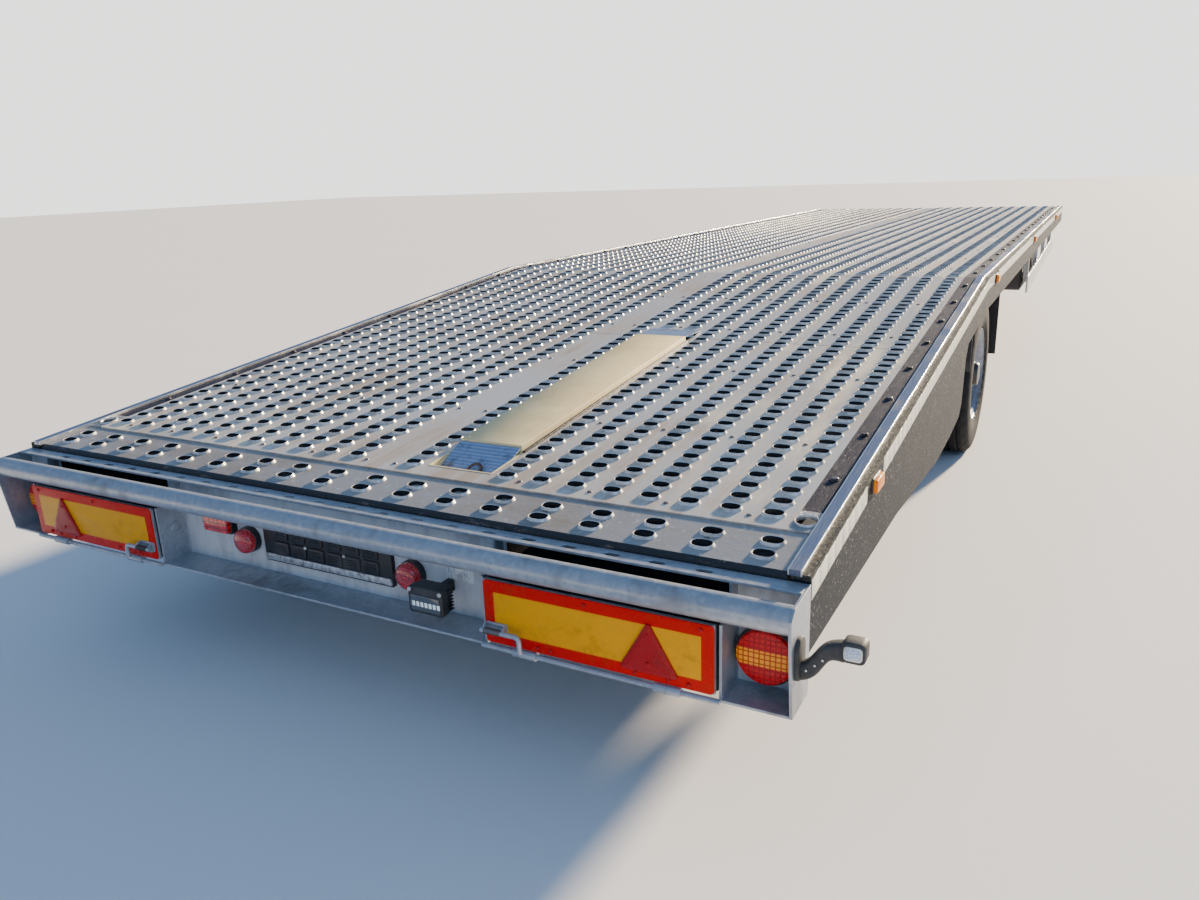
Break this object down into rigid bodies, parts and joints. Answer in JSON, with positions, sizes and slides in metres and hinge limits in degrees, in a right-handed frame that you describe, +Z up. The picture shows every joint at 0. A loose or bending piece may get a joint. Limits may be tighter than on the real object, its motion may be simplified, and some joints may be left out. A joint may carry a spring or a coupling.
{
  "type": "car transporter semi-trailer",
  "caption": "Low car transporter semi-trailer with a perforated level deck, a sloping tail, ramp shafts behind hinged warning-board doors and twin wheels.",
  "frame": {"origin": "on the ground, under the middle of the trailer's box", "axes": "+X forward, +Y to the trailer's left, +Z up"},
  "size_m": [9.1506, 2.756, 0.908],
  "materials": {
    "chassis_paint": "satin dark grey chassis paint",
    "deck_sheet": "punched steel sheet with a worn sheen",
    "dark_steel": "darker worn steel",
    "edge_bar": "matt dark strip",
    "silver_rail": "satin extrusion",
    "anthracite": "satin anthracite paint, wet and speckled",
    "beige_plate": "matt beige, dusty",
    "ribbed_aluminium": "fine ribs",
    "galvanised": "hot-dip galvanised",
    "grey_paint": "light grey paint",
    "red_lens": "gloss lens",
    "black_plastic": "satin moulded",
    "black_rubber": "matt",
    "pale_lens": "clear lens",
    "amber_lens": "gloss lens",
    "guard_aluminium": "satin extrusion",
    "black_paint": "satin black",
    "leg_steel": "satin dark grey",
    "warning_sheet": "retroreflective yellow with a red border",
    "tyre": "matt",
    "wheel_silver": "satin silver"
  },
  "bodies": {
    "root": {"main_rails": "chassis_paint", "cross_members": "chassis_paint", "deck_front": "deck_sheet", "deck_tail": "deck_sheet", "apron": "dark_steel", "edge_bars": "edge_bar", "edge_rails": "silver_rail", "side_beams": "anthracite", "cover_plate": "beige_plate", "cover_ends": "ribbed_aluminium", "front_beam": "anthracite", "coupling_plate": "chassis_paint", "air_connection_panel": "dark_steel", "rear_tube": "galvanised", "rear_frame": "galvanised", "rear_ledge": "galvanised", "rear_back_wall": "grey_paint", "ramp_shafts": "chassis_paint", "hinge_rods": "galvanised", "main_lamps": "red_lens", "inner_lamps": "red_lens", "work_light": "black_plastic", "plate_holder": "black_plastic", "marker_arms": "black_rubber", "marker_lamps": "pale_lens", "side_marker_lamps": "amber_lens", "skirts": "anthracite", "mudguards": "black_plastic", "side_guards": "guard_aluminium", "storage_boxes": "black_plastic", "air_tanks": "black_paint", "axle": "black_paint", "air_springs": "black_rubber", "trailing_arms": "black_paint", "landing_legs": "leg_steel", "landing_gear_shaft": "leg_steel", "landing_gear_crank": "galvanised"},
    "ramp_door_left": {"ramp_door_left": "galvanised", "warning_board_left": "warning_sheet", "door_bolt_left": "galvanised"},
    "ramp_door_right": {"ramp_door_right": "galvanised", "warning_board_right": "warning_sheet", "door_bolt_right": "galvanised"},
    "wheel_left": {"tyres_left": "tyre", "wheel_left": "wheel_silver"},
    "wheel_right": {"tyres_right": "tyre", "wheel_right": "wheel_silver"}
  },
  "joints": [
    {"name": "ramp_door_left_hinge", "type": "hinge", "parent": "root", "child": "ramp_door_left", "pos_m": [-4.54634, 0.825, 0.39219], "axis": [0, -1, 0], "range_deg": [0, 170]},
    {"name": "ramp_door_right_hinge", "type": "hinge", "parent": "root", "child": "ramp_door_right", "pos_m": [-4.54634, -0.825, 0.39219], "axis": [0, -1, 0], "range_deg": [0, 170]},
    {"name": "wheel_left_spin", "type": "hinge", "parent": "root", "child": "wheel_left", "pos_m": [-1.29466, 0.985, 0.385], "axis": [0, 1, 0], "continuous": true},
    {"name": "wheel_right_spin", "type": "hinge", "parent": "root", "child": "wheel_right", "pos_m": [-1.29466, -0.985, 0.385], "axis": [0, 1, 0], "continuous": true}
  ]
}
